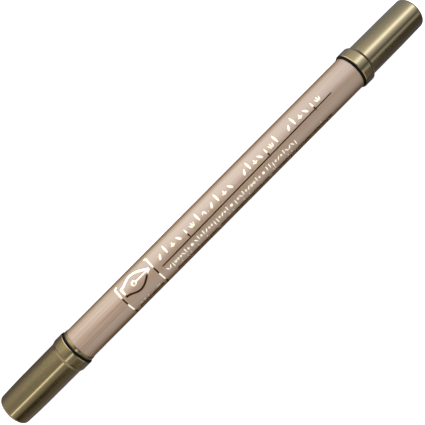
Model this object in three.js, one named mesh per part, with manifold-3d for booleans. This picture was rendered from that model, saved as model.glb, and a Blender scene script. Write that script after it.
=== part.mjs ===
// Twin-tip calligraphy marker, capped at both ends and lying on its two cap collars.
// Units are millimetres and +Z is up. +X runs along the pen towards the fine tip, and the
// origin is on the surface that the pen lies on, under the middle of its length.
import * as THREE from 'three';
import { mergeVertices } from 'three/addons/utils/BufferGeometryUtils.js';
import Module from 'manifold-3d';

const wasm = await Module();
wasm.setup();

// Whole pen
const OVERALL_LENGTH = 150;
const SIDES = 36; // facets round every turned piece, with one of them level underneath

// Barrel, and the rings between it and the caps
const BARREL_RADIUS = 5.0;
const BARREL_BORE = 4.3;
const BARREL_EDGE = 0.12;
const TRIM_RING_RADIUS = 5.15;
const TRIM_RING_WIDTH = 0.8;
const SEAL_RING_RADIUS = 5.2;
const RING_EDGE = 0.12;

// Fits
const CAP_GAP = 0.1; // along the pen, between a cap's mouth and its seal ring
const SEAT_CLEARANCE = 0.2; // on radius, between a cap's bore and the tip holder's seat
const SNAP_CLEARANCE = 0.1; // on radius, between a cap's bore and the snap bead
const PRESS_GAP = 0.05; // on radius, between pieces that are pressed together

// Ink reservoir
const RESERVOIR_RADIUS = 3.7;
const SHEATH_WALL = 0.12;
const SHANK_IN_RESERVOIR = 2.0;
const SOCKET_FLOOR_GAP = 0.2;

// Tip holder, measured along the pen from the cap's mouth: inwards is negative
const SOCKET_MOUTH = -14;
const SOCKET_FLOOR = -6;
const SEAT_LENGTH = 7.0;
const SNAP_BEAD_AT = 3.6;
const SNAP_BEAD_HALF_WIDTH = 0.5;
const NOSE_START = 7.8;
const NOSE_LAND_END = 10.4;
const NOSE_TIP = 12.2;
const NIB_SLOT_CLEARANCE = 0.08;
const BREATHER_WIDTH = 0.7;
const BREATHER_DEPTH = 0.35;

// Caps
const COLLAR_RADIUS = 5.5;
const COLLAR_LENGTH = 3.7;
const COLLAR_LIP = 0.4;
const COLLAR_SHOULDER = 0.8; // the length over which it slopes down to the shell
const COLLAR_HEEL = 0.05; // what is left of its thickness at the foot of that slope
const COLLAR_EDGE = 0.35;
const CAP_WALL = 0.55;
const CAP_END_WALL = 0.8;
const CAP_END_ROUND = 0.6;
const LINER_MOUTH = 8.6;
const LINER_FLANGE_WIDTH = 1.2;
const LINER_CLEARANCE = 0.1;
const LINER_WALL = 0.5;
const LINER_END_WALL = 0.7;
const LINER_LEAD_IN = 0.25;

// The two ends differ only in these sizes
const BROAD_END = {
  name: 'broad',
  capLength: 23.75,
  capRadius: 5.15,
  taperRadius: 5.06,
  taperLength: 5.8,
  endRadius: 4.83,
  noseRadius: 3.6,
  noseTipRadius: 3.3,
  nibWidth: 5.0,
  nibThickness: 2.5,
  nibEdge: 0.6,
  nibBevel: 3.0,
  nibTip: 16.5,
  sealRingWidth: 0.45,
  trimRing: true,
};
const FINE_END = {
  name: 'fine',
  capLength: 22.35,
  capRadius: 4.79,
  taperRadius: 4.69,
  taperLength: 7.0,
  endRadius: 4.59,
  noseRadius: 2.9,
  noseTipRadius: 1.9,
  nibWidth: 2.0,
  nibThickness: 1.8,
  nibEdge: 0.5,
  nibBevel: 2.0,
  nibTip: 16.0,
  sealRingWidth: 0.4,
  trimRing: false,
};

const FINISHES = {
  pearlPaint: { color: '#cdb9a5', roughness: 0.35, metalness: 0.3 },
  bronzePaint: { color: '#82764f', roughness: 0.28, metalness: 0.7 },
  blackPlastic: { color: '#1d1b19', roughness: 0.45, metalness: 0 },
  clearPlastic: { color: '#d8d8d2', roughness: 0.5, metalness: 0 },
  film: { color: '#e6e4dc', roughness: 0.4, metalness: 0 },
  inkedFibre: { color: '#a58a5e', roughness: 0.95, metalness: 0 },
};

// A mesh with its own material.
function piece(name, geometry, finish) {
  const mesh = new THREE.Mesh(geometry, new THREE.MeshStandardMaterial(FINISHES[finish]));
  mesh.name = name;
  return mesh;
}

// A piece turned on the pen's axis, from points [along the pen, radius]. The facets are
// tangent to the true round, so a flat one lies exactly one radius below the axis.
function turned(outline) {
  const facetScale = 1 / Math.cos(Math.PI / SIDES);
  const points = outline.map(([along, radius]) => new THREE.Vector2(radius * facetScale, along));
  const geometry = new THREE.LatheGeometry(points, SIDES, Math.PI / SIDES, 2 * Math.PI);
  return geometry.rotateZ(-Math.PI / 2);
}

// A ring with bevelled outer edges.
function turnedRing(start, end, outerRadius, innerRadius, edge) {
  return turned([
    [start, innerRadius],
    [start, outerRadius - edge],
    [start + edge, outerRadius],
    [end - edge, outerRadius],
    [end, outerRadius - edge],
    [end, innerRadius],
    [start, innerRadius],
  ]);
}

// A rectangular block along the pen, centred on its axis or raised by lift.
function block(start, end, width, thickness, lift = 0) {
  const geometry = new THREE.BoxGeometry(end - start, width, thickness);
  return geometry.translate((start + end) / 2, 0, lift);
}

// Manifold solids, for cuts.
function toSolid(geometry) {
  const bare = geometry.clone();
  bare.deleteAttribute('normal');
  bare.deleteAttribute('uv');
  const merged = mergeVertices(bare, 1e-4);
  return new wasm.Manifold(new wasm.Mesh({
    numProp: 3,
    vertProperties: merged.attributes.position.array,
    triVerts: new Uint32Array(merged.index.array),
  }));
}

function toGeometry(solid) {
  const mesh = solid.getMesh();
  const geometry = new THREE.BufferGeometry();
  geometry.setAttribute('position', new THREE.BufferAttribute(mesh.vertProperties, 3));
  geometry.setIndex(new THREE.BufferAttribute(mesh.triVerts, 1));
  geometry.computeVertexNormals();
  return geometry;
}

function cut(geometry, ...tools) {
  return toGeometry(tools.reduce((solid, tool) => solid.subtract(toSolid(tool)), toSolid(geometry)));
}

// Where the pieces between a cap's mouth and the barrel end, outwards from the pen's middle.
function ringStations(end) {
  const mouth = OVERALL_LENGTH / 2 - end.capLength;
  const sealOuter = -CAP_GAP;
  const sealInner = sealOuter - end.sealRingWidth;
  const trimInner = sealInner - (end.trimRing ? TRIM_RING_WIDTH : 0);
  return { mouth, sealOuter, sealInner, trimInner, barrelEnd: mouth + trimInner };
}

// Black moulding that holds the nib. It has a socket behind for the reservoir, a seat with a
// snap bead for the cap, and a nose with a slot for the nib and a breather groove above it.
function tipHolder(end) {
  const capBore = end.capRadius - CAP_WALL;
  const seatRadius = capBore - SEAT_CLEARANCE;
  const beadRadius = capBore - SNAP_CLEARANCE;
  const plugRadius = BARREL_BORE - PRESS_GAP;
  const socketRadius = RESERVOIR_RADIUS + PRESS_GAP;
  const body = turned([
    [SOCKET_FLOOR, 0],
    [SOCKET_FLOOR, socketRadius],
    [SOCKET_MOUTH, socketRadius],
    [SOCKET_MOUTH, plugRadius],
    [-CAP_GAP, plugRadius],
    [-CAP_GAP, seatRadius],
    [SNAP_BEAD_AT - 2 * SNAP_BEAD_HALF_WIDTH, seatRadius],
    [SNAP_BEAD_AT - SNAP_BEAD_HALF_WIDTH / 2, beadRadius],
    [SNAP_BEAD_AT + SNAP_BEAD_HALF_WIDTH / 2, beadRadius],
    [SNAP_BEAD_AT + 2 * SNAP_BEAD_HALF_WIDTH, seatRadius],
    [SEAT_LENGTH, seatRadius],
    [NOSE_START, end.noseRadius],
    [NOSE_LAND_END, end.noseRadius],
    [NOSE_TIP, end.noseTipRadius],
    [NOSE_TIP, 0],
  ]);
  const slotWidth = end.nibWidth + 2 * NIB_SLOT_CLEARANCE;
  const slotThickness = end.nibThickness + 2 * NIB_SLOT_CLEARANCE;
  const slot = block(SOCKET_FLOOR - 1, NOSE_TIP + 1, slotWidth, slotThickness);
  const breatherLift = slotThickness / 2;
  const breather = block(
    SOCKET_FLOOR - 1, NOSE_TIP + 1, BREATHER_WIDTH, 2 * BREATHER_DEPTH, breatherLift,
  );
  return piece(`${end.name}_tip_holder`, cut(body, slot, breather), 'blackPlastic');
}

// Pressed-fibre nib: a flat strip with both faces bevelled to the writing edge.
function nib(end) {
  const back = SOCKET_FLOOR - SOCKET_FLOOR_GAP - SHANK_IN_RESERVOIR;
  const half = end.nibThickness / 2;
  const edge = end.nibEdge / 2;
  const side = new THREE.Shape([
    new THREE.Vector2(back, -half),
    new THREE.Vector2(end.nibTip - end.nibBevel, -half),
    new THREE.Vector2(end.nibTip, -edge),
    new THREE.Vector2(end.nibTip, edge),
    new THREE.Vector2(end.nibTip - end.nibBevel, half),
    new THREE.Vector2(back, half),
  ]);
  const strip = new THREE.ExtrudeGeometry(side, { depth: end.nibWidth, bevelEnabled: false });
  strip.rotateX(Math.PI / 2).translate(0, end.nibWidth / 2, 0);
  return piece(`${end.name}_nib`, strip, 'inkedFibre');
}

// Ring on the neck of the tip holder that the cap's mouth closes against.
function sealRing(end) {
  const { sealOuter, sealInner } = ringStations(end);
  const ring = turnedRing(sealInner, sealOuter, SEAL_RING_RADIUS, BARREL_BORE, RING_EDGE);
  return piece(`${end.name}_seal_ring`, ring, 'blackPlastic');
}

// Bronze ring that finishes the barrel beside the broad cap.
function trimRing(end) {
  const { sealInner, trimInner } = ringStations(end);
  const ring = turnedRing(trimInner, sealInner, TRIM_RING_RADIUS, BARREL_BORE, RING_EDGE);
  return piece('barrel_trim_ring', ring, 'bronzePaint');
}

// Outer cup of a cap: nearly straight, then tapered, with a rounded edge and a flat end.
function capShell(end) {
  const boreAtMouth = end.capRadius - CAP_WALL;
  const boreAtEnd = end.endRadius - CAP_WALL;
  const taperStart = end.capLength - end.taperLength;
  const boreEnd = end.capLength - CAP_END_WALL;
  const roundStart = end.capLength - CAP_END_ROUND;
  const roundCentre = end.endRadius - CAP_END_ROUND;
  const roundPoints = [0, 30, 60, 90].map((degrees) => {
    const angle = THREE.MathUtils.degToRad(degrees);
    return [
      roundStart + CAP_END_ROUND * Math.sin(angle),
      roundCentre + CAP_END_ROUND * Math.cos(angle),
    ];
  });
  const shell = turned([
    [boreEnd, 0],
    [boreEnd, boreAtEnd],
    [taperStart, boreAtMouth],
    [COLLAR_LIP, boreAtMouth],
    [COLLAR_LIP, end.capRadius],
    [taperStart, end.taperRadius],
    ...roundPoints,
    [end.capLength, 0],
  ]);
  return piece(`${end.name}_cap_shell`, shell, 'bronzePaint');
}

// Ferrule over the cap's mouth, with a lip across the shell's edge and a sloped shoulder.
function capCollar(end) {
  const bore = end.capRadius - CAP_WALL;
  const collar = turned([
    [0, bore],
    [0, COLLAR_RADIUS - COLLAR_EDGE],
    [COLLAR_EDGE, COLLAR_RADIUS],
    [COLLAR_LENGTH - COLLAR_SHOULDER, COLLAR_RADIUS],
    [COLLAR_LENGTH, end.capRadius + COLLAR_HEEL],
    [COLLAR_LENGTH, end.capRadius],
    [COLLAR_LIP, end.capRadius],
    [COLLAR_LIP, bore],
    [0, bore],
  ]);
  return piece(`${end.name}_cap_collar`, collar, 'bronzePaint');
}

// Inner cap that closes round the tip holder's nose and keeps the nib from drying.
function capLiner(end) {
  const bore = end.noseRadius + LINER_CLEARANCE;
  const outside = bore + LINER_WALL;
  const flange = end.capRadius - CAP_WALL - PRESS_GAP;
  const endOutside = end.capLength - CAP_END_WALL - PRESS_GAP;
  const floor = endOutside - LINER_END_WALL;
  const flangeEnd = LINER_MOUTH + LINER_FLANGE_WIDTH;
  const cornerCut = Math.max(0, outside - (end.endRadius - CAP_WALL - 2 * PRESS_GAP));
  const liner = turned([
    [floor, 0],
    [floor, bore],
    [LINER_MOUTH + LINER_LEAD_IN, bore],
    [LINER_MOUTH, bore + LINER_LEAD_IN],
    [LINER_MOUTH, flange],
    [flangeEnd, flange],
    [flangeEnd, outside],
    [endOutside - LINER_END_WALL, outside],
    [endOutside, outside - cornerCut - LINER_LEAD_IN],
    [endOutside, 0],
  ]);
  return piece(`${end.name}_cap_liner`, liner, 'clearPlastic');
}

// One end of the pen, in a group whose +X runs outwards from the cap's mouth.
function endGroup(end, turnedRound) {
  const group = new THREE.Group();
  const { mouth } = ringStations(end);
  group.position.x = turnedRound ? -mouth : mouth;
  group.rotation.z = turnedRound ? Math.PI : 0;
  group.add(tipHolder(end), nib(end), sealRing(end));
  group.add(capShell(end), capCollar(end), capLiner(end));
  if (end.trimRing) {
    group.add(trimRing(end));
  }
  return group;
}

// Open tube between the two ends.
function barrelTube() {
  const start = -ringStations(BROAD_END).barrelEnd;
  const end = ringStations(FINE_END).barrelEnd;
  const tube = turnedRing(start, end, BARREL_RADIUS, BARREL_BORE, BARREL_EDGE);
  return piece('barrel_tube', tube, 'pearlPaint');
}

// Fibre core that holds the ink, with a pocket at each end for a nib's shank, and the film
// that it is wrapped in.
function reservoir() {
  const start = -(ringStations(BROAD_END).mouth + SOCKET_FLOOR - SOCKET_FLOOR_GAP);
  const end = ringStations(FINE_END).mouth + SOCKET_FLOOR - SOCKET_FLOOR_GAP;
  const coreRadius = RESERVOIR_RADIUS - SHEATH_WALL - PRESS_GAP;
  const rod = turned([[start, 0], [start, coreRadius], [end, coreRadius], [end, 0]]);
  const pocketDepth = SHANK_IN_RESERVOIR + SOCKET_FLOOR_GAP;
  const pocket = ({ nibWidth, nibThickness }, from, to) => block(
    from, to, nibWidth + 2 * NIB_SLOT_CLEARANCE, nibThickness + 2 * NIB_SLOT_CLEARANCE,
  );
  const core = cut(
    rod,
    pocket(BROAD_END, start - 1, start + pocketDepth),
    pocket(FINE_END, end - pocketDepth, end + 1),
  );
  const sheath = turnedRing(start, end, RESERVOIR_RADIUS, coreRadius + PRESS_GAP, 0);
  return [piece('reservoir_core', core, 'inkedFibre'), piece('reservoir_sheath', sheath, 'film')];
}

const marker = new THREE.Group();
marker.position.z = COLLAR_RADIUS;
marker.add(barrelTube(), ...reservoir(), endGroup(BROAD_END, true), endGroup(FINE_END, false));

export default marker;
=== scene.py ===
# %% [markdown]
# # A twin-tip calligraphy marker
# The marker is a slim pearl tube with a chisel nib at each end and an olive-bronze cap over each
# nib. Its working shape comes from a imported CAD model, which is loaded first and never changed.
# Everything that is made here is built round it, in metres, in the same frame: +X runs towards the
# fine tip and the pen lies on Z = 0.

# %% Load the frame
import math
import random

import bmesh
import bpy
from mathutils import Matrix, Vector


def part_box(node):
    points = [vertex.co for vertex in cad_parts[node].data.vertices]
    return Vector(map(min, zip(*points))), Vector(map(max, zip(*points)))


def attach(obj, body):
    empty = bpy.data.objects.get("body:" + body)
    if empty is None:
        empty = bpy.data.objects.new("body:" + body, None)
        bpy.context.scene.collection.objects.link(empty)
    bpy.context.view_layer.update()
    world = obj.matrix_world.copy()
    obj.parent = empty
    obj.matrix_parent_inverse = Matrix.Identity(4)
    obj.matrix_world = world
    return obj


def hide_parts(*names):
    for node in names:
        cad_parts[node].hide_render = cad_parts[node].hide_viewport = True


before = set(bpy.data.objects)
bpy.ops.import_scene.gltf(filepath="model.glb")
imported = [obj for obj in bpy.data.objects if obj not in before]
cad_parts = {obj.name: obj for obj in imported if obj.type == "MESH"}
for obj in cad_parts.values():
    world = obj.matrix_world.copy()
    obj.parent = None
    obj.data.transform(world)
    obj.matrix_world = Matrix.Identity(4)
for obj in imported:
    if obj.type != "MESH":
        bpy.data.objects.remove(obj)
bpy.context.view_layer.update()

# %% [markdown]
# ## Where everything goes
# A pen is turned work, so every place is a distance along one axis and a radius from it. Both are
# read from the boxes of the CAD nodes. Each end of the pen is measured outwards from the mouth of
# its cap, so that one function can build both ends.

# %% Read the axis and the two ends
MM = 0.001


def node_radius(node):
    low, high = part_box(node)
    return (high.y - low.y) / 2


barrel_low, barrel_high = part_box("barrel_tube")
axis_z = (barrel_low.z + barrel_high.z) / 2
barrel_radius = node_radius("barrel_tube")


class End:
    """One end of the pen: its name, the way it points along X, and where its cap's mouth is."""

    def __init__(self, name, outward):
        self.name = name
        self.outward = outward
        self.body = f"{name}_cap"
        low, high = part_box(f"{name}_cap_collar")
        self.mouth = low.x if outward > 0 else high.x
        self.collar_length = high.x - low.x
        self.collar_radius = node_radius(f"{name}_cap_collar")
        self.shell_radius = node_radius(f"{name}_cap_shell")
        self.seal_radius = node_radius(f"{name}_seal_ring")

    def place(self, along):
        """X of a point that is so far outwards from the cap's mouth."""
        return self.mouth + self.outward * along

    def reach(self, node):
        """How far a node reaches along the pen from the mouth: its inner and its outer end."""
        low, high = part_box(node)
        return sorted((x - self.mouth) * self.outward for x in (low.x, high.x))


broad = End("broad", -1)
fine = End("fine", 1)
for end in (broad, fine):
    print(end.name, "cap mouth at", round(end.mouth / MM, 2), "mm")

# %% [markdown]
# ## How a turned piece is made
# A lathe cuts a round piece from one outline, and Spin does the same. The outline is a few corner
# points. A vertex bevel rounds each corner by its own radius, as a tool or a mould does, and an
# extra pair of points close to the ends of every straight stretch keeps the soft shading inside
# the rounded corner, so that the long faces reflect light in a straight line.

# %% Spin an outline round the pen's axis
SPIN_STEPS = 144
CORNER_SEGMENTS = 4
HOLD = 0.1 * MM
LONGEST_RING = 5 * MM


def add_outline(bm, points, closed, place):
    """Wire of the outline. A point is (along, radius) or (along, radius, rounding)."""
    corners = [bm.verts.new((place(p[0]), 0, axis_z + p[1])) for p in points]
    for start, stop in zip(corners, corners[1:]):
        bm.edges.new((start, stop))
    if closed:
        bm.edges.new((corners[-1], corners[0]))
    for corner, point in zip(corners, points):
        if len(point) > 2:
            bmesh.ops.bevel(
                bm, geom=[corner], offset=point[2], offset_type="OFFSET",
                segments=CORNER_SEGMENTS, profile=0.5, affect="VERTICES", material=-1,
            )


def hold_corners(bm):
    """Put a point close to both ends of each long edge, and more along the longest ones."""
    for edge in list(bm.edges):
        if edge.calc_length() < 4 * HOLD:
            continue
        first, last = edge.verts
        split, _ = bmesh.utils.edge_split(edge, first, HOLD / edge.calc_length())
        rest = edge if last in edge.verts else split
        other, _ = bmesh.utils.edge_split(rest, last, HOLD / rest.calc_length())
        middle = max((rest, other), key=lambda e: e.calc_length())
        cuts = int(middle.calc_length() / LONGEST_RING)
        if cuts:
            bmesh.ops.subdivide_edges(bm, edges=[middle], cuts=cuts)


def turned(points, closed=True, place=lambda along: along):
    """A bmesh spun from an outline, welded at its seam and poles, with its faces outwards."""
    bm = bmesh.new()
    add_outline(bm, points, closed, place)
    hold_corners(bm)
    bmesh.ops.spin(
        bm, geom=bm.verts[:] + bm.edges[:], cent=(0, 0, axis_z), axis=(1, 0, 0),
        angle=math.tau, steps=SPIN_STEPS, use_merge=True, use_duplicate=False,
    )
    bmesh.ops.remove_doubles(bm, verts=bm.verts, dist=1e-7)
    bmesh.ops.recalc_face_normals(bm, faces=bm.faces)
    return bm


# %% Turn a bmesh into a piece of the model
SHARP_ANGLE = math.radians(35)


def make_piece(name, bm, body, materials, replaces=()):
    """A named object that rides on a CAD body and stands for the CAD nodes it replaces."""
    mesh = bpy.data.meshes.new(name)
    bm.to_mesh(mesh)
    bm.free()
    mesh.shade_smooth()
    mesh.set_sharp_from_angle(angle=SHARP_ANGLE)
    for material in materials:
        mesh.materials.append(material)
    piece = bpy.data.objects.new(name, mesh)
    bpy.context.scene.collection.objects.link(piece)
    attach(piece, body)
    if replaces:
        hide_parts(*replaces)
    print(name, len(mesh.polygons), "faces")
    return piece


# %% [markdown]
# ## Colours and nodes
# Colours are written as the hex values a designer would read off a swatch, and Blender wants them
# linear. One small function adds any node, sets it and wires it, so that each material below reads
# as a list of what it is made of.

# %% Two material helpers
def colour(hex_value):
    """Linear RGBA of an sRGB hex colour."""
    channels = [int(hex_value[i:i + 2], 16) / 255 for i in (1, 3, 5)]
    return (*(c / 12.92 if c <= 0.04045 else ((c + 0.055) / 1.055) ** 2.4 for c in channels), 1)


def add_node(tree, kind, inputs=None, **settings):
    """Add a node. An input is a value, or another node's output socket to link from."""
    node = tree.nodes.new(kind)
    for name, value in settings.items():
        setattr(node, name, value)
    for name, value in (inputs or {}).items():
        if isinstance(value, bpy.types.NodeSocket):
            tree.links.new(value, node.inputs[name])
        else:
            node.inputs[name].default_value = value
    return node


def set_stops(ramp, stops):
    """Give a colour ramp its stops, each a place and a colour."""
    elements = ramp.color_ramp.elements
    while len(elements) < len(stops):
        elements.new(1)
    for element, (place, value) in zip(elements, stops):
        element.position = place
        element.color = value


def new_material(name, **shader_values):
    """A material with one Principled shader, and that shader's constant values."""
    material = bpy.data.materials.new(name)
    material.use_nodes = True
    tree = material.node_tree
    shader = tree.nodes["Principled BSDF"]
    for socket, value in shader_values.items():
        shader.inputs[socket.replace("_", " ")].default_value = value
    return material, tree, shader


def lengthwise_noise(tree, across, along, detail=2):
    """Noise drawn out along the pen, like the marks of brushing or of drawing a tube."""
    place = add_node(tree, "ShaderNodeTexCoord")
    stretch = add_node(
        tree, "ShaderNodeMapping",
        {"Vector": place.outputs["Object"], "Scale": (1 / along, 1 / across, 1 / across)},
    )
    return add_node(
        tree, "ShaderNodeTexNoise", {"Vector": stretch.outputs[0], "Scale": 1.0, "Detail": detail}
    )


# %% [markdown]
# ## Champagne pearl paint
# The barrel is a polypropylene tube sprayed with pearl paint. A colour ramp over Layer Weight turns
# the paint from champagne to a deep brown as the surface turns away: the mica in the paint shifts
# its hue a little, and the darkening towards the edges is painted shade. A thin clear coat carries
# a faint shine. Drawing the tube leaves hairlines along it, and stretched noise gives them, under
# half a millimetre apart. They are deepest near the broad end.

# %% Barrel paint
HAIRLINE_SPACING = 0.42 * MM
HAIRLINE_LENGTH = 25 * MM
HAIRLINES_FADE = (-38 * MM, -28 * MM)
DEEP_HAIRLINES, FAINT_HAIRLINES = 0.75, 0.22
MICA_SIZE = 0.12 * MM

pearl, tree, shader = new_material(
    "champagne_pearl_paint", Roughness=0.42, IOR=2.2, Coat_Weight=0.3, Coat_Roughness=0.15
)
# The ramp over Layer Weight shifts the pearl's hue slightly and darkens it towards the silhouette:
# painted edge shade.
facing = add_node(tree, "ShaderNodeLayerWeight", {"Blend": 0.5})
pearl_hue_and_edge_shade = add_node(tree, "ShaderNodeValToRGB", {"Fac": facing.outputs["Facing"]})
set_stops(pearl_hue_and_edge_shade, [
    (0.0, colour("#b6977a")), (0.25, colour("#b4977c")), (0.42, colour("#a88a66")),
    (0.58, colour("#8c6c48")), (1.0, colour("#5c4022")),
])
hairlines = lengthwise_noise(tree, HAIRLINE_SPACING, HAIRLINE_LENGTH, detail=0)
place = add_node(tree, "ShaderNodeTexCoord")
along_pen = add_node(tree, "ShaderNodeSeparateXYZ", {"Vector": place.outputs["Object"]})
hairline_depth = add_node(
    tree, "ShaderNodeMapRange",
    {"Value": along_pen.outputs["X"], "From Min": HAIRLINES_FADE[0], "From Max": HAIRLINES_FADE[1],
     "To Min": DEEP_HAIRLINES, "To Max": FAINT_HAIRLINES},
)
hairline_offset = add_node(
    tree, "ShaderNodeMath", {0: hairlines.outputs["Fac"], 1: -0.5}, operation="ADD"
)
hairline_tint = add_node(
    tree, "ShaderNodeMath",
    {0: hairline_offset.outputs[0], 1: hairline_depth.outputs[0], 2: 0.98}, operation="MULTIPLY_ADD",
)
mica = add_node(
    tree, "ShaderNodeTexNoise",
    {"Vector": place.outputs["Object"], "Scale": 1 / MICA_SIZE, "Detail": 1.0},
)
mica_tint = add_node(
    tree, "ShaderNodeMapRange",
    {"Value": mica.outputs["Fac"], "From Min": 0.3, "From Max": 0.7, "To Min": 0.96, "To Max": 1.04},
)
both_tints = add_node(
    tree, "ShaderNodeMath",
    {0: hairline_tint.outputs[0], 1: mica_tint.outputs[0]}, operation="MULTIPLY",
)
painted = add_node(
    tree, "ShaderNodeVectorMath",
    {0: pearl_hue_and_edge_shade.outputs["Color"], 1: both_tints.outputs[0]}, operation="MULTIPLY",
)
tree.links.new(painted.outputs[0], shader.inputs["Base Color"])
hairline_bump = add_node(
    tree, "ShaderNodeBump",
    {"Height": hairlines.outputs["Fac"], "Strength": 0.12, "Distance": 0.01 * MM},
)
tree.links.new(hairline_bump.outputs[0], shader.inputs["Normal"])

# %% [markdown]
# ## Olive-bronze metallic lacquer
# The caps and their collars are moulded ABS under a metallic lacquer. Aluminium flake in a brown
# and olive tint makes a dark warm metal, and the clear coat on top is smooth, so a narrow light
# shows in it as a sharp line over the broad glow of the flakes. Faint lengthwise brushing and slow
# patches of colour keep it from looking like plain plastic.

# %% Cap lacquer
BRUSH_SPACING = 0.12 * MM
BRUSH_LENGTH = 9 * MM
PATCH_SIZE = 6 * MM

bronze, tree, shader = new_material(
    "bronze_metallic_lacquer", Metallic=1.0, Coat_Weight=1.0, Coat_Roughness=0.03, Coat_IOR=1.7
)
brushing = lengthwise_noise(tree, BRUSH_SPACING, BRUSH_LENGTH)
patches = lengthwise_noise(tree, PATCH_SIZE / 3, PATCH_SIZE, detail=1)
patch_colour = add_node(tree, "ShaderNodeValToRGB", {"Fac": patches.outputs["Fac"]})
set_stops(patch_colour, [
    (0.35, colour("#968859")), (0.5, colour("#988859")), (0.65, colour("#9a885c")),
])
brush_tint = add_node(
    tree, "ShaderNodeMapRange",
    {"Value": brushing.outputs["Fac"], "From Min": 0.3, "From Max": 0.7, "To Min": 0.94, "To Max": 1.05},
)
lacquered = add_node(
    tree, "ShaderNodeVectorMath",
    {0: patch_colour.outputs["Color"], 1: brush_tint.outputs[0]}, operation="MULTIPLY",
)
tree.links.new(lacquered.outputs[0], shader.inputs["Base Color"])
brush_roughness = add_node(
    tree, "ShaderNodeMapRange",
    {"Value": brushing.outputs["Fac"], "From Min": 0.3, "From Max": 0.7, "To Min": 0.14, "To Max": 0.2},
)
tree.links.new(brush_roughness.outputs[0], shader.inputs["Roughness"])

# %% [markdown]
# ## Plain mouldings
# The tip holders are black polypropylene with a fine spark-eroded grain from the mould, the seal
# rings are a softer black elastomer, and the inner caps are natural polyethylene, which is milky
# and lets a little light through. Inside the caps the lacquer stops and bare dark ABS shows.

# %% A function for grained mouldings
def moulding(name, hex_colour, grain, depth, **shader_values):
    """A moulded plastic whose grain, so many metres across, shows in its roughness and bump."""
    material, tree, shader = new_material(name, **shader_values)
    place = add_node(tree, "ShaderNodeTexCoord")
    noise = add_node(
        tree, "ShaderNodeTexNoise",
        {"Vector": place.outputs["Object"], "Scale": 1 / grain, "Detail": 3.0},
    )
    base = Vector(colour(hex_colour)[:3])
    tint = add_node(tree, "ShaderNodeValToRGB", {"Fac": noise.outputs["Fac"]})
    set_stops(tint, [(0.3, (*(base * 0.85), 1)), (0.7, (*(base * 1.15), 1))])
    tree.links.new(tint.outputs["Color"], shader.inputs["Base Color"])
    bump = add_node(
        tree, "ShaderNodeBump",
        {"Height": noise.outputs["Fac"], "Strength": 0.4, "Distance": depth},
    )
    tree.links.new(bump.outputs[0], shader.inputs["Normal"])
    return material


# %% The plain mouldings themselves
black_pp = moulding("black_polypropylene", "#1b1a19", 0.1 * MM, 0.01 * MM, Roughness=0.42)
black_rubber = moulding(
    "black_elastomer", "#0b0a0a", 0.08 * MM, 0.008 * MM, Roughness=0.6, Specular_IOR_Level=0.2
)
bare_abs = moulding("bare_dark_abs", "#3a352a", 0.15 * MM, 0.01 * MM, Roughness=0.5)
milky_pe = moulding(
    "natural_polyethylene", "#dcdbd2", 0.3 * MM, 0.01 * MM,
    Roughness=0.4, Subsurface_Weight=0.4, Subsurface_Scale=1 * MM,
)

# %% [markdown]
# ## Fibre
# Nibs and reservoirs are polyester fibres lying along the pen: pressed hard and sintered for a nib,
# loosely bundled for a reservoir. Ink stains them. Each is streaked lengthwise, with a bump to match.

# %% A function for ink-soaked fibre
def fibre(name, dark, light, spacing, length, depth):
    """Fibre with streaks so many metres apart and so many metres long."""
    material, tree, shader = new_material(name, Roughness=0.85, Sheen_Weight=0.25)
    streaks = lengthwise_noise(tree, spacing, length, detail=4)
    tint = add_node(tree, "ShaderNodeValToRGB", {"Fac": streaks.outputs["Fac"]})
    set_stops(tint, [(0.3, colour(dark)), (0.7, colour(light))])
    tree.links.new(tint.outputs["Color"], shader.inputs["Base Color"])
    bump = add_node(
        tree, "ShaderNodeBump",
        {"Height": streaks.outputs["Fac"], "Strength": 0.6, "Distance": depth},
    )
    tree.links.new(bump.outputs[0], shader.inputs["Normal"])
    return material


# %% Nib felt, reservoir fibre and the reservoir's film
nib_felt = fibre("inked_nib_felt", "#7b6238", "#bb9d69", 0.09 * MM, 2.5 * MM, 0.03 * MM)
core_fibre = fibre("inked_reservoir_fibre", "#8a7248", "#c9b184", 0.15 * MM, 20 * MM, 0.05 * MM)
film = moulding(
    "clear_polyester_film", "#e2e0d8", 0.5 * MM, 0.005 * MM, Roughness=0.25, Transmission_Weight=0.5
)

# %% [markdown]
# ## Hot-stamped foil
# The print on the barrel is metal foil pressed on with a hot die. It is a mirror a few microns
# thick, pale gold, and it takes its brightness from what it reflects: cream under the lights and
# nearly black between them. A fine mottle in the roughness stands for the paint under it.

# %% Pale gold foil
FOIL_MOTTLE = 0.25 * MM

foil, tree, shader = new_material("pale_gold_foil", Metallic=1.0)
place = add_node(tree, "ShaderNodeTexCoord")
mottle = add_node(
    tree, "ShaderNodeTexNoise",
    {"Vector": place.outputs["Object"], "Scale": 1 / FOIL_MOTTLE, "Detail": 2.0},
)
foil_colour = add_node(tree, "ShaderNodeValToRGB", {"Fac": mottle.outputs["Fac"]})
set_stops(foil_colour, [(0.3, colour("#f3e6c8")), (0.7, colour("#fff6e2"))])
tree.links.new(foil_colour.outputs["Color"], shader.inputs["Base Color"])
foil_roughness = add_node(
    tree, "ShaderNodeMapRange",
    {"Value": mottle.outputs["Fac"], "From Min": 0.3, "From Max": 0.7, "To Min": 0.05, "To Max": 0.12},
)
tree.links.new(foil_roughness.outputs[0], shader.inputs["Roughness"])

# %% [markdown]
# ## The barrel
# A straight tube with its two rims just broken by the trimming cut. It could be a cylinder with a
# Solidify modifier, but one spun outline gives the bore, the rims and the outside at once.

# %% Barrel tube
BARREL_WALL = 0.7 * MM
RIM_ROUNDING = 0.1 * MM

bore = barrel_radius - BARREL_WALL
barrel_mesh = turned([
    (barrel_low.x, bore),
    (barrel_low.x, barrel_radius, RIM_ROUNDING),
    (barrel_high.x, barrel_radius, RIM_ROUNDING),
    (barrel_high.x, bore),
])
make_piece("barrel", barrel_mesh, "barrel", [pearl], ["barrel_tube"])

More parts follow.
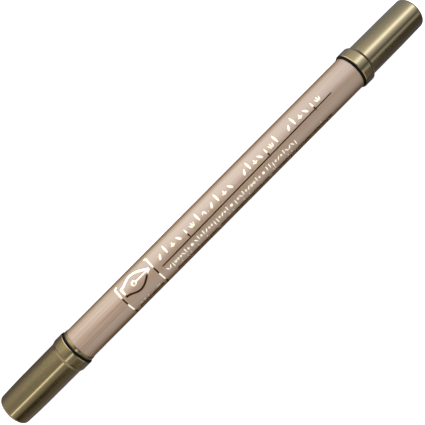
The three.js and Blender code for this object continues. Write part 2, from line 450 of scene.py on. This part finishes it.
# %% [markdown]
# ## The rings beside the caps
# A black seal ring sits between each cap and the barrel, and the broad end has a thin bronze trim
# ring as well. The seals are soft, with a clear rounding, and the trim ring's edges are crisp.

# %% Seal rings and trim ring
SEAL_ROUNDING = 0.12 * MM
TRIM_ROUNDING = 0.05 * MM


def ring(inner_end, outer_end, radius, rounding, place):
    """A ring from the barrel's bore to a radius, with its two outer edges rounded."""
    return turned([
        (inner_end, bore),
        (inner_end, radius, rounding),
        (outer_end, radius, rounding),
        (outer_end, bore),
    ], place=place)


for end in (broad, fine):
    node = f"{end.name}_seal_ring"
    seal_inner, seal_outer = end.reach(node)
    seal = ring(seal_inner, seal_outer, end.seal_radius, SEAL_ROUNDING, end.place)
    make_piece(f"{end.name}_seal", seal, "barrel", [black_rubber], [node])

trim_inner, trim_outer = broad.reach("barrel_trim_ring")
trim = ring(trim_inner, trim_outer, node_radius("barrel_trim_ring"), TRIM_ROUNDING, broad.place)
make_piece("trim_ring", trim, "barrel", [bronze], ["barrel_trim_ring"])

# %% [markdown]
# ## The caps
# Each cap is a thin cup, a little narrower towards its end as a moulding must be to leave the
# mould, with a rounded end edge and a shallow round panel in its end. A collar covers its mouth,
# and a milky inner cap inside closes round the nose of the tip holder. The outside of the cup is
# lacquered and the inside is not, so its faces take one of two materials by their radius.

# %% Cap measures
CAP_WALL = 0.55 * MM
CAP_END_WALL = 0.8 * MM
CAP_END_ROUNDING = 0.6 * MM
END_PANEL_SHARE = 0.62
END_PANEL_DEPTH = 0.12 * MM
PANEL_ROUNDING = 0.05 * MM
COLLAR_LIP = 0.4 * MM
COLLAR_SHOULDER = 0.8 * MM
COLLAR_HEEL = 0.05 * MM
COLLAR_ROUNDING = 0.15 * MM
HEEL_ROUNDING = 0.03 * MM
LINER_WALL = 0.5 * MM
LINER_END_WALL = 0.7 * MM
LINER_FLANGE = 1.2 * MM
LINER_LEAD_IN = 0.25 * MM
FLANGE_ROUNDING = 0.12 * MM
FIT = 0.05 * MM

broad.taper_length, broad.taper_radius, broad.end_radius = 5.8 * MM, 5.06 * MM, 4.83 * MM
fine.taper_length, fine.taper_radius, fine.end_radius = 7.0 * MM, 4.69 * MM, 4.59 * MM
broad.nose_radius, fine.nose_radius = 3.6 * MM, 2.9 * MM


# %% Cap shell
def cap_shell(end):
    """The cup, lacquered outside and bare inside."""
    node = f"{end.name}_cap_shell"
    mouth, outer_end = end.reach(node)
    mouth_bore = end.shell_radius - CAP_WALL
    end_bore = end.end_radius - CAP_WALL
    floor = outer_end - CAP_END_WALL
    taper_start = outer_end - end.taper_length
    panel = END_PANEL_SHARE * end.end_radius
    bm = turned([
        (floor, 0),
        (floor, end_bore, 0.3 * MM),
        (taper_start, mouth_bore),
        (mouth, mouth_bore),
        (mouth, end.shell_radius),
        (taper_start, end.taper_radius, 1.5 * MM),
        (outer_end, end.end_radius, CAP_END_ROUNDING),
        (outer_end, panel, PANEL_ROUNDING),
        (outer_end - END_PANEL_DEPTH, panel - END_PANEL_DEPTH, PANEL_ROUNDING),
        (outer_end - END_PANEL_DEPTH, 0),
    ], closed=False, place=end.place)
    for face in bm.faces:
        centre = face.calc_center_median()
        radius = math.hypot(centre.y, centre.z - axis_z)
        along = (centre.x - end.mouth) * end.outward
        on_bore = radius < mouth_bore + FIT and along < taper_start
        on_floor = radius < end_bore + FIT and along < floor + FIT
        face.material_index = 1 if on_bore or on_floor else 0
    make_piece(f"{end.name}_cap", bm, end.body, [bronze, bare_abs], [node])


# %% Collar over the cap's mouth
def cap_collar(end):
    """The ferrule round the cap's mouth, with its shoulder sloping down to the cup."""
    node = f"{end.name}_cap_collar"
    length = end.collar_length
    lip_bore = end.shell_radius - CAP_WALL
    bm = turned([
        (0, lip_bore),
        (0, end.collar_radius, COLLAR_ROUNDING),
        (length - COLLAR_SHOULDER, end.collar_radius, COLLAR_ROUNDING),
        (length, end.shell_radius + COLLAR_HEEL, HEEL_ROUNDING),
        (length, end.shell_radius),
        (COLLAR_LIP, end.shell_radius),
        (COLLAR_LIP, lip_bore),
    ], place=end.place)
    make_piece(f"{end.name}_collar", bm, end.body, [bronze], [node])


# %% Inner cap
def cap_liner(end):
    """The inner cap that keeps the nib from drying."""
    node = f"{end.name}_cap_liner"
    mouth, outer_end = end.reach(node)
    liner_bore = end.nose_radius + 2 * FIT
    outside = liner_bore + LINER_WALL
    flange = node_radius(node)
    floor = outer_end - LINER_END_WALL
    bm = turned([
        (floor, 0),
        (floor, liner_bore, 0.4 * MM),
        (mouth + LINER_LEAD_IN, liner_bore, 0.1 * MM),
        (mouth, liner_bore + LINER_LEAD_IN, 0.08 * MM),
        (mouth, flange, FLANGE_ROUNDING),
        (mouth + LINER_FLANGE, flange, FLANGE_ROUNDING),
        (mouth + LINER_FLANGE, outside),
        (floor, outside, 0.2 * MM),
        (outer_end, outside - 0.3 * MM, 0.1 * MM),
        (outer_end, 0),
    ], closed=False, place=end.place)
    make_piece(f"{end.name}_inner_cap", bm, end.body, [milky_pe], [node])


# %% Build both caps
for end in (broad, fine):
    cap_shell(end)
    cap_collar(end)
    cap_liner(end)

# %% [markdown]
# ## The tip holders
# With its cap off, each end shows a black moulding: a seat with a low snap bead, a land that the
# inner cap seals on, and a tapered nose with a slot for the nib. The outside is spun open at both
# ends. A circle with as many points as the spin has steps is then pressed to the slot's outline,
# drawn through the holder as the slot's walls, and bridged to the round rims, so the slot really
# goes through and every face meets its neighbour.

# %% Tip holder measures
SOCKET_FLOOR = -6 * MM
SOCKET_RADIUS = 3.75 * MM
SEAT_END = 7.0 * MM
BEAD_AT = 3.6 * MM
NOSE_START = 7.8 * MM
NOSE_LAND_END = 10.4 * MM
NOSE_TIP = 12.2 * MM
SLOT_GAP = 0.08 * MM
GROOVE_HALF_WIDTH = 0.35 * MM
GROOVE_DEPTH = 0.35 * MM

broad.nose_tip_radius, fine.nose_tip_radius = 3.3 * MM, 1.9 * MM


# %% Slot outline from a circle
def slot_point(angle, half_width, half_height):
    """Where a ray from the axis meets the slot, which has a breather groove along its top."""
    across, up = math.sin(angle), math.cos(angle)
    reach = min(half_width / max(abs(across), 1e-9), half_height / max(abs(up), 1e-9))
    if up > 0 and abs(across) * (half_height + GROOVE_DEPTH) < GROOVE_HALF_WIDTH * up:
        reach = (half_height + GROOVE_DEPTH) / up
    return across * reach, up * reach


def slot_loop(bm, x, half_width, half_height):
    """A loop of edges round the slot at one place along the pen."""
    step = math.tau / SPIN_STEPS
    verts = []
    for i in range(SPIN_STEPS):
        across, up = slot_point(i * step, half_width, half_height)
        verts.append(bm.verts.new((x, across, axis_z + up)))
    return [bm.edges.new((a, b)) for a, b in zip(verts, verts[1:] + verts[:1])]


# %% Tip holder
def tip_holder(end):
    """The moulding that carries the nib, with a real slot through it."""
    node = f"{end.name}_tip_holder"
    nib_low, nib_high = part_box(f"{end.name}_nib")
    socket_mouth, _ = end.reach(node)
    seat = end.shell_radius - CAP_WALL - 0.2 * MM
    bead = seat + 0.1 * MM
    plug = bore - FIT
    bm = turned([
        (SOCKET_FLOOR, SOCKET_RADIUS),
        (socket_mouth, SOCKET_RADIUS),
        (socket_mouth, plug, 0.08 * MM),
        (-0.1 * MM, plug, 0.05 * MM),
        (-0.1 * MM, seat, 0.1 * MM),
        (BEAD_AT - 1.0 * MM, seat, 0.2 * MM),
        (BEAD_AT - 0.25 * MM, bead, 0.15 * MM),
        (BEAD_AT + 0.25 * MM, bead, 0.15 * MM),
        (BEAD_AT + 1.0 * MM, seat, 0.2 * MM),
        (SEAT_END, seat, 0.2 * MM),
        (NOSE_START, end.nose_radius, 0.15 * MM),
        (NOSE_LAND_END, end.nose_radius, 0.4 * MM),
        (NOSE_TIP, end.nose_tip_radius),
    ], closed=False, place=end.place)
    rims = [e for e in bm.edges if e.is_boundary]
    half_width = (nib_high.y - nib_low.y) / 2 + SLOT_GAP
    half_height = (nib_high.z - nib_low.z) / 2 + SLOT_GAP
    loops = []
    for along in (SOCKET_FLOOR, NOSE_TIP):
        x = end.place(along)
        rim = [e for e in rims if abs(e.verts[0].co.x - x) < 1e-6]
        loops.append(slot_loop(bm, x, half_width, half_height))
        bmesh.ops.bridge_loops(bm, edges=rim + loops[-1])
    bmesh.ops.bridge_loops(bm, edges=loops[0] + loops[1])
    bmesh.ops.recalc_face_normals(bm, faces=bm.faces)
    make_piece(f"{end.name}_holder", bm, "barrel", [black_pp], [node])


for end in (broad, fine):
    tip_holder(end)

# %% [markdown]
# ## The nibs
# A nib is a flat strip of pressed fibre, ground on both faces to a straight writing edge. A cube is
# stretched to the strip, cut across where the grinding starts, and its end squeezed to the edge's
# thickness. A small bevel softens every corner, because felt is never sharp.

# %% Nibs
NIB_SOFTNESS = 0.14 * MM

broad.bevel_length, broad.edge_thickness = 3.0 * MM, 0.6 * MM
fine.bevel_length, fine.edge_thickness = 2.0 * MM, 0.5 * MM


def nib(end):
    """A chisel nib, ground to its writing edge."""
    node = f"{end.name}_nib"
    low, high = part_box(node)
    _, tip = end.reach(node)
    size, centre = high - low, (low + high) / 2
    bm = bmesh.new()
    bmesh.ops.create_cube(bm, size=1)
    bmesh.ops.scale(bm, verts=bm.verts, vec=size)
    bmesh.ops.translate(bm, verts=bm.verts, vec=centre)
    grind = end.place(tip - end.bevel_length)
    bmesh.ops.bisect_plane(
        bm, geom=bm.verts[:] + bm.edges[:] + bm.faces[:],
        plane_co=(grind, 0, axis_z), plane_no=(1, 0, 0),
    )
    tip_x = end.place(tip)
    for vert in bm.verts:
        if abs(vert.co.x - tip_x) < 1e-6:
            vert.co.z = axis_z + math.copysign(end.edge_thickness / 2, vert.co.z - axis_z)
    bmesh.ops.bevel(
        bm, geom=bm.edges[:], offset=NIB_SOFTNESS, offset_type="OFFSET",
        segments=3, profile=0.5, affect="EDGES", material=-1,
    )
    bmesh.ops.recalc_face_normals(bm, faces=bm.faces)
    make_piece(f"{end.name}_felt_nib", bm, "barrel", [nib_felt], [node])


for end in (broad, fine):
    nib(end)

# %% [markdown]
# ## The reservoir
# The fibre core and its film are closed inside the barrel, and their CAD shapes are already right,
# so they stay and only get their materials.

# %% Reservoir materials
for node, material in (("reservoir_core", core_fibre), ("reservoir_sheath", film)):
    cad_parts[node].material_slots[0].material = material

# %% [markdown]
# ## The foil print
# Foil is modelled as what it is: flat shapes with a thickness, wrapped on the barrel. Each shape is
# drawn flat first, X along the pen and Y up round the barrel, with its base a little below the
# paint and its top a little above. Wrapping turns Y into an angle. Nothing here is lettering. The
# print is ornament: two end bars with a drawn nib between them, a border of leaves, spears and
# crosses, a rule, and two rows of small marks.

# %% Flat foil shapes and wrapping
FOIL_SINK = 0.02 * MM
FOIL_HEIGHT = 0.015 * MM


def height_at(degrees):
    """Distance round the barrel from its highest line, positive upwards in the print."""
    return math.radians(degrees) * barrel_radius


def thicken(bm):
    """Give flat faces the foil's thickness and close them all round."""
    bmesh.ops.remove_doubles(bm, verts=bm.verts, dist=1e-7)
    bmesh.ops.recalc_face_normals(bm, faces=bm.faces)
    bmesh.ops.translate(bm, verts=bm.verts, vec=(0, 0, -FOIL_SINK))
    made = bmesh.ops.extrude_face_region(bm, geom=bm.faces[:], use_keep_orig=True)
    lifted = [g for g in made["geom"] if isinstance(g, bmesh.types.BMVert)]
    bmesh.ops.translate(bm, verts=lifted, vec=(0, 0, FOIL_SINK + FOIL_HEIGHT))
    bmesh.ops.recalc_face_normals(bm, faces=bm.faces)


def wrap(bm):
    """Roll a flat mesh onto the barrel. Y becomes the way up round it from its highest line."""
    for vert in bm.verts:
        along, up, lift = vert.co
        angle = up / barrel_radius
        radius = barrel_radius + lift
        vert.co = (along, radius * math.sin(angle), axis_z + radius * math.cos(angle))


def foil_piece(name, bm):
    """Finish flat shapes as one piece of foil on the barrel."""
    thicken(bm)
    wrap(bm)
    return make_piece(name, bm, "barrel", [foil])


# %% [markdown]
# A pressed pen stroke starts fine, swells and ends fine. It is made by extruding a short edge from
# point to point along its path, and setting the new edge across the path at the stroke's width
# there. An even stroke keeps one width.

# %% Pen strokes
FINE_END_OF_STROKE = 0.15


def pen_stroke(bm, path, width, swell=True):
    points = [Vector((x, y, 0)) for x, y in path]
    last = len(points) - 1
    edge = None
    for i, here in enumerate(points):
        ahead = (points[min(i + 1, last)] - points[max(i - 1, 0)]).normalized()
        press = math.sin(math.pi * i / last) if swell else 1
        half = width / 2 * (FINE_END_OF_STROKE + (1 - FINE_END_OF_STROKE) * press)
        left = here + half * Vector((-ahead.y, ahead.x, 0))
        right = 2 * here - left
        if edge is None:
            start = (bm.verts.new(left), bm.verts.new(right))
            edge = bm.edges.new(start)
            continue
        previous_left = start[0].co.copy()
        made = bmesh.ops.extrude_edge_only(bm, edges=[edge])["geom"]
        fresh = [g for g in made if isinstance(g, bmesh.types.BMVert)]
        fresh.sort(key=lambda v: (v.co - previous_left).length)
        fresh[0].co, fresh[1].co = left, right
        start = fresh
        edge = next(
            g for g in made if isinstance(g, bmesh.types.BMEdge) and set(g.verts) == set(fresh)
        )


def arc(centre, radii, start, stop, steps=10):
    """Points along an ellipse's arc, with its angles in degrees."""
    angles = [math.radians(start + (stop - start) * i / steps) for i in range(steps + 1)]
    return [(centre[0] + radii[0] * math.cos(a), centre[1] + radii[1] * math.sin(a)) for a in angles]


def line(start, stop, steps=6):
    shares = [i / steps for i in range(steps + 1)]
    return [tuple(a + (b - a) * t for a, b in zip(start, stop)) for t in shares]


# %% Border ornaments, each drawn about one unit high with its foot at zero
ORNAMENTS = {
    "leaf": [(line((0.05, 0.0), (0.75, 1.0)), 0.42)],
    "leaf_back": [(line((0.75, 0.0), (0.05, 1.0)), 0.42)],
    "spear": [(line((0.4, -0.05), (0.4, 1.7), 8), 0.34)],
    "cross": [(line((0.4, 0.02), (0.4, 0.98)), 0.3), (line((-0.05, 0.5), (0.85, 0.5)), 0.3)],
    "spray": [
        (line((0.4, 0.0), (0.4, 1.0)), 0.26),
        (line((0.3, 0.05), (-0.05, 0.85)), 0.24),
        (line((0.5, 0.05), (0.85, 0.85)), 0.24),
    ],
    "wave": [
        (arc((0.15, 0.45), (0.25, 0.3), 180, 0, 6) + arc((0.65, 0.45), (0.25, 0.3), 180, 360, 6), 0.3),
    ],
    "root": [(line((0.4, 1.0), (0.4, -0.6), 8), 0.34)],
}
BORDER = ["leaf", "spear", "cross", "leaf_back", "root", "spray", "spear", "wave"]


def ornament_row(bm, names, start, stop, foot, height, weight):
    """Ornaments spread evenly from start to stop along the pen, drawn with a pen of some weight."""
    pitch = (stop - start) / len(names)
    for i, name in enumerate(names):
        left = start + i * pitch
        for path, width in ORNAMENTS[name]:
            placed = [(left + x * height, foot + y * height) for x, y in path]
            pen_stroke(bm, placed, width * height * weight)


def repeated(names, count):
    return [names[i % len(names)] for i in range(count)]


# %% Main border, in three groups
BORDER_FOOT = height_at(2)
BORDER_HEIGHT = 1.75 * MM
BORDER_WEIGHT = 0.85
BORDER_GROUPS = [(-18.9, 9.4, 12), (12.0, 25.8, 7), (28.2, 41.0, 6)]

bm = bmesh.new()
for start, stop, count in BORDER_GROUPS:
    names = repeated(BORDER, count)
    ornament_row(bm, names, start * MM, stop * MM, BORDER_FOOT, BORDER_HEIGHT, BORDER_WEIGHT)
foil_piece("foil_border", bm)

# %% Rule under the border
RULE_WIDTH = 0.34 * MM
rule = line((-19.3 * MM, height_at(-11)), (43.3 * MM, height_at(-2)), 40)
bm = bmesh.new()
pen_stroke(bm, rule, RULE_WIDTH, swell=False)
foil_piece("foil_rule", bm)

# %% End bars with short returns
BAR_WIDTH = 0.42 * MM
RETURN_LENGTH = 0.7 * MM
BARS = ((-32.6 * MM, 1), (-21.2 * MM, -1))  # where along the pen, and which way the returns point

bm = bmesh.new()
for at, inward in BARS:
    top, bottom = height_at(46), height_at(-72)
    pen_stroke(bm, line((at, bottom), (at, top), 40), BAR_WIDTH, swell=False)
    for level in (top, bottom):
        pen_stroke(bm, line((at, level), (at + inward * RETURN_LENGTH, level)), BAR_WIDTH, swell=False)
foil_piece("foil_end_bars", bm)

# %% Drawn nib between the bars
MARK_START, MARK_STOP = -31.3 * MM, -22.2 * MM
MARK_MIDDLE = height_at(14)
MARK_HALF_HEIGHT = 2.45 * MM
MARK_LINE = 0.55 * MM
SHOULDER_AT, HOLE_AT = 0.42, 0.4
HOLE_RADIUS = 0.6 * MM


def drawn_nib_edge(side):
    """One side of a nib's outline, from its tail to its point."""
    path = []
    for i in range(31):
        u = i / 30
        if u < SHOULDER_AT:
            half = 0.5 + 0.5 * math.sin(math.pi / 2 * u / SHOULDER_AT) ** 2
        else:
            half = max(math.cos(math.pi / 2 * (u - SHOULDER_AT) / (1 - SHOULDER_AT)), 0) ** 1.2
        x = MARK_START + u * (MARK_STOP - MARK_START)
        path.append((x, MARK_MIDDLE + side * MARK_HALF_HEIGHT * half))
    return path


bm = bmesh.new()
for side in (1, -1):
    pen_stroke(bm, drawn_nib_edge(side), MARK_LINE, swell=False)
tail_half = MARK_HALF_HEIGHT * 0.5 + MARK_LINE / 2
tail = line((MARK_START, MARK_MIDDLE - tail_half), (MARK_START, MARK_MIDDLE + tail_half), 12)
pen_stroke(bm, tail, MARK_LINE, swell=False)
hole_x = MARK_START + HOLE_AT * (MARK_STOP - MARK_START)
hole = arc((hole_x, MARK_MIDDLE), (HOLE_RADIUS, HOLE_RADIUS), 0, 360, 24)
pen_stroke(bm, hole, 0.7 * MARK_LINE, swell=False)
slit = line((hole_x + HOLE_RADIUS, MARK_MIDDLE), (MARK_STOP, MARK_MIDDLE), 8)
pen_stroke(bm, slit, 0.6 * MARK_LINE, swell=False)
foil_piece("foil_drawn_nib", bm)

# %% [markdown]
# The small rows repeat the same ornaments at just over half the size. They are too
# small to make out one by one, so a seeded shuffle sets their order, the same every time.

# %% Small rows and their bullets
random.seed(7)
SMALL_HEIGHT, SMALL_PITCH, SMALL_WEIGHT = 1.05 * MM, 0.98 * MM, 0.85
TINY_HEIGHT, TINY_PITCH, TINY_WEIGHT = 1.0 * MM, 0.66 * MM, 1.3
BULLET_RADIUS = 0.42 * MM
SMALL_GROUPS = [(-19.2, -10.8), (-8.9, 3.6), (5.5, 15.4), (17.3, 28.5)]
BULLETS = (-9.9, 4.5, 16.3)
TINY_GROUPS = [(-31.0, -22.4), (-17.0, -2.0), (-1.0, 17.0), (18.0, 40.0)]


def shuffled_row(bm, groups, foot, height, pitch, weight):
    for start, stop in groups:
        count = round((stop - start) * MM / pitch)
        names = [random.choice(sorted(ORNAMENTS)) for _ in range(count)]
        ornament_row(bm, names, start * MM, stop * MM, foot, height, weight)


bm = bmesh.new()
small_foot = height_at(-35)
shuffled_row(bm, SMALL_GROUPS, small_foot, SMALL_HEIGHT, SMALL_PITCH, SMALL_WEIGHT)
for at in BULLETS:
    made = bmesh.ops.create_circle(bm, cap_ends=True, segments=16, radius=BULLET_RADIUS)
    middle = small_foot + 0.5 * SMALL_HEIGHT
    bmesh.ops.translate(bm, verts=made["verts"], vec=(at * MM, middle, 0))
foil_piece("foil_small_row", bm)

bm = bmesh.new()
shuffled_row(bm, TINY_GROUPS, height_at(-63), TINY_HEIGHT, TINY_PITCH, TINY_WEIGHT)
foil_piece("foil_tiny_row", bm)

# %% [markdown]
# ## The stage
# The pen lies on a plain white table under soft studio light. The light is painted on the world as
# softboxes would look from the table: a function of direction, made from the angle round the pen's
# axis and how far the direction leans along it. The table itself isn't seen in reflections, so the
# dark under-edges of the pen stay dark, as they do over a light tent's gap.

# %% Table
floor_mesh = bpy.data.meshes.new("table")
bm = bmesh.new()
bmesh.ops.create_grid(bm, x_segments=1, y_segments=1, size=3)
bm.to_mesh(floor_mesh)
bm.free()
table = bpy.data.objects.new("table", floor_mesh)
bpy.context.scene.collection.objects.link(table)
table.visible_glossy = False
table.visible_diffuse = False
paper, tree, shader = new_material(
    "white_table", Base_Color=(0.8, 0.8, 0.8, 1), Roughness=0.9,
    Emission_Color=(1, 1, 1, 1), Emission_Strength=0.8,
)
floor_mesh.materials.append(paper)

# %% World light
PEAK = 3.0
# The fine end's window is cooler than the rest, which is a little warm, and the unlit room is brown.
LIGHT_TINTS = {"middle": (1.0, 1.0, 0.985), "fine_end": (0.97, 1.02, 1.2)}
WARM_TINT = (1.0, 0.985, 0.955)
DARK_ROOM = (0.03, 0.015, 0.006)
SOFTBOXES = {
    # angle round the pen from straight up, positive towards -Y, and brightness there
    "broad_end": [(-180, 0.05), (-140, 0.12), (-116, 0.18), (-100, 0.28), (-80, 0.45), (-60, 0.53),
                  (-45, 0.51), (-28, 0.4), (6, 0.46), (8, 2.4), (14, 2.4), (16, 0.75), (28, 0.45),
                  (40, 0.36), (46, 0.26), (50, 0.06), (66, 0.03), (80, 0.1), (100, 0.16), (130, 0.2),
                  (160, 0.1)],
    "middle": [(-180, 0.05), (-140, 0.05), (-122, 0.3), (-105, 1.5), (-86, 2.6), (-45, 2.8), (-28, 1.9),
               (-16, 1.1), (-9, 0.1), (-6, 0.0), (36, 0.0), (40, 1.15), (60, 1.2), (92, 1.05),
               (102, 0.3), (110, 0.0), (180, 0.0)],
    "fine_end": [(-180, 0.05), (-150, 0.15), (-130, 0.32), (-100, 0.42), (-60, 0.64), (-38, 0.98),
                 (-28, 1.8), (-20, 3.0), (-14, 3.0), (-7, 1.8), (2, 0.98), (12, 0.7), (22, 0.38),
                 (30, 0.16), (36, 0.22), (42, 0.58), (50, 0.62), (57, 0.12), (72, 0.06), (120, 0.12),
                 (160, 0.1)],
    "beyond_broad": [(-180, 0.1), (-100, 0.9), (100, 0.6), (180, 0.1)],
    "beyond_fine": [(-180, 0.05), (-90, 0.15), (90, 0.1), (180, 0.05)],
}

world = bpy.data.worlds.new("studio")
bpy.context.scene.world = world
world.use_nodes = True
tree = world.node_tree
tree.nodes.clear()
direction = add_node(tree, "ShaderNodeTexCoord")
parts = add_node(tree, "ShaderNodeSeparateXYZ", {"Vector": direction.outputs["Generated"]})
minus_y = add_node(tree, "ShaderNodeMath", {0: parts.outputs["Y"], 1: -1.0}, operation="MULTIPLY")
round_angle = add_node(
    tree, "ShaderNodeMath", {0: minus_y.outputs[0], 1: parts.outputs["Z"]}, operation="ARCTAN2"
)
turn = add_node(
    tree, "ShaderNodeMapRange",
    {"Value": round_angle.outputs[0], "From Min": -math.pi, "From Max": math.pi},
)


def softbox_ramp(name):
    """One picture of the lights, as colours over the angle round the pen."""
    ramp = add_node(tree, "ShaderNodeValToRGB", {"Fac": turn.outputs[0]})
    tint = LIGHT_TINTS.get(name, WARM_TINT)
    stops = []
    for degrees, value in SOFTBOXES[name]:
        light = [(room + share * value) / PEAK for room, share in zip(DARK_ROOM, tint)]
        stops.append(((degrees + 180) / 360, (*light, 1)))
    set_stops(ramp, stops)
    return ramp.outputs["Color"]


def lean_mix(low, high, below, above):
    """Blend from one picture of the lights to the next as a direction leans along the pen."""
    share = add_node(
        tree, "ShaderNodeMapRange",
        {"Value": parts.outputs["X"], "From Min": low, "From Max": high}, interpolation_type="SMOOTHSTEP",
    )
    mix = add_node(tree, "ShaderNodeMix", data_type="RGBA")
    tree.links.new(share.outputs[0], mix.inputs["Factor"])
    tree.links.new(below, mix.inputs[6])
    tree.links.new(above, mix.inputs[7])
    return mix.outputs[2]


lights = lean_mix(-0.29, -0.274, softbox_ramp("broad_end"), softbox_ramp("middle"))
lights = lean_mix(0.34, 0.36, lights, softbox_ramp("fine_end"))
lights = lean_mix(-0.85, -0.65, softbox_ramp("beyond_broad"), lights)
lights = lean_mix(0.75, 0.95, lights, softbox_ramp("beyond_fine"))
glow = add_node(tree, "ShaderNodeBackground", {"Color": lights, "Strength": PEAK})
backdrop = add_node(tree, "ShaderNodeBackground", {"Color": (1, 1, 1, 1), "Strength": 1.0})
ray = add_node(tree, "ShaderNodeLightPath")
seen = add_node(
    tree, "ShaderNodeMixShader",
    {0: ray.outputs["Is Camera Ray"], 1: glow.outputs[0], 2: backdrop.outputs[0]},
)
add_node(tree, "ShaderNodeOutputWorld", {"Surface": seen.outputs[0]})

# %% [markdown]
# ## The camera
# The camera looks straight down from close by, so the rings near the ends bow outwards. It stands
# a little towards the broad end, and a small lens shift brings the whole pen back into the frame.

# %% Camera
CAMERA_HEIGHT = 145 * MM
CAMERA_X = -5.1 * MM
LENS_MM = 45.9
SENSOR_MM = 36
PEN_SLOPE = math.radians(45.14)
SHIFT_X, SHIFT_Y = 0.0324, 0.0289

camera_data = bpy.data.cameras.new("camera")
camera = bpy.data.objects.new("camera", camera_data)
bpy.context.scene.collection.objects.link(camera)
camera.location = (CAMERA_X, 0, axis_z + CAMERA_HEIGHT)
camera.rotation_euler = (0, 0, -PEN_SLOPE)
camera_data.lens = LENS_MM
camera_data.sensor_width = SENSOR_MM
camera_data.shift_x, camera_data.shift_y = SHIFT_X, SHIFT_Y
camera_data.clip_start = 1 * MM
bpy.context.scene.camera = camera
bpy.context.scene.view_settings.view_transform = "Standard"
